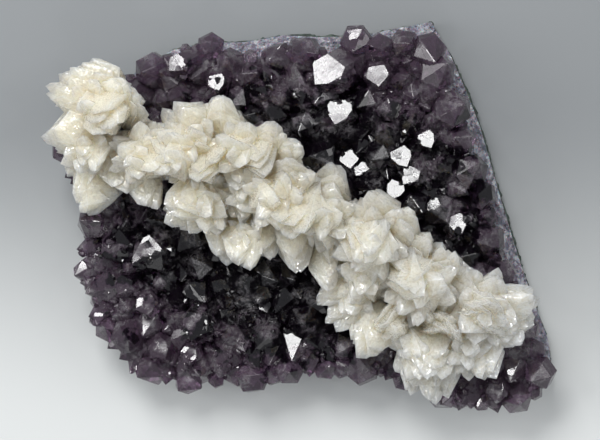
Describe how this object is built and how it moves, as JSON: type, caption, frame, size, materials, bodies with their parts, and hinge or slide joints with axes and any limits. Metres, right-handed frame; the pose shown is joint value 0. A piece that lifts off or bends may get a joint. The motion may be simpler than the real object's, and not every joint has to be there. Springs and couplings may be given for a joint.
{
  "type": "amethyst specimen",
  "caption": "Plate of stubby purple amethyst points on quartz and a thin green rind, crossed from corner to corner by a thick ridge of white calcite crystals.",
  "frame": {"origin": "on the flat back face, under the middle of the plate", "axes": "+X along the plate's length, towards the corner where the calcite ridge ends lowest in the picture; +Y across the plate, towards the edge that is uppermost in the picture; +Z out of the plate, towards the crystal tips"},
  "size_m": [0.2017, 0.1553, 0.063],
  "materials": {
    "basalt": "rough, dark green-grey, cut flat and matt underneath",
    "quartz": "granular, grey-white, sparkling on the broken edge",
    "amethyst": "glassy, smoky purple, see-through at the edges",
    "calcite": "frosted and finely striated, creamy white, translucent"
  },
  "bodies": {
    "root": {"green_rind": "basalt", "quartz_band": "quartz", "amethyst_crust": "amethyst", "calcite_ridge": "calcite"}
  },
  "joints": []
}
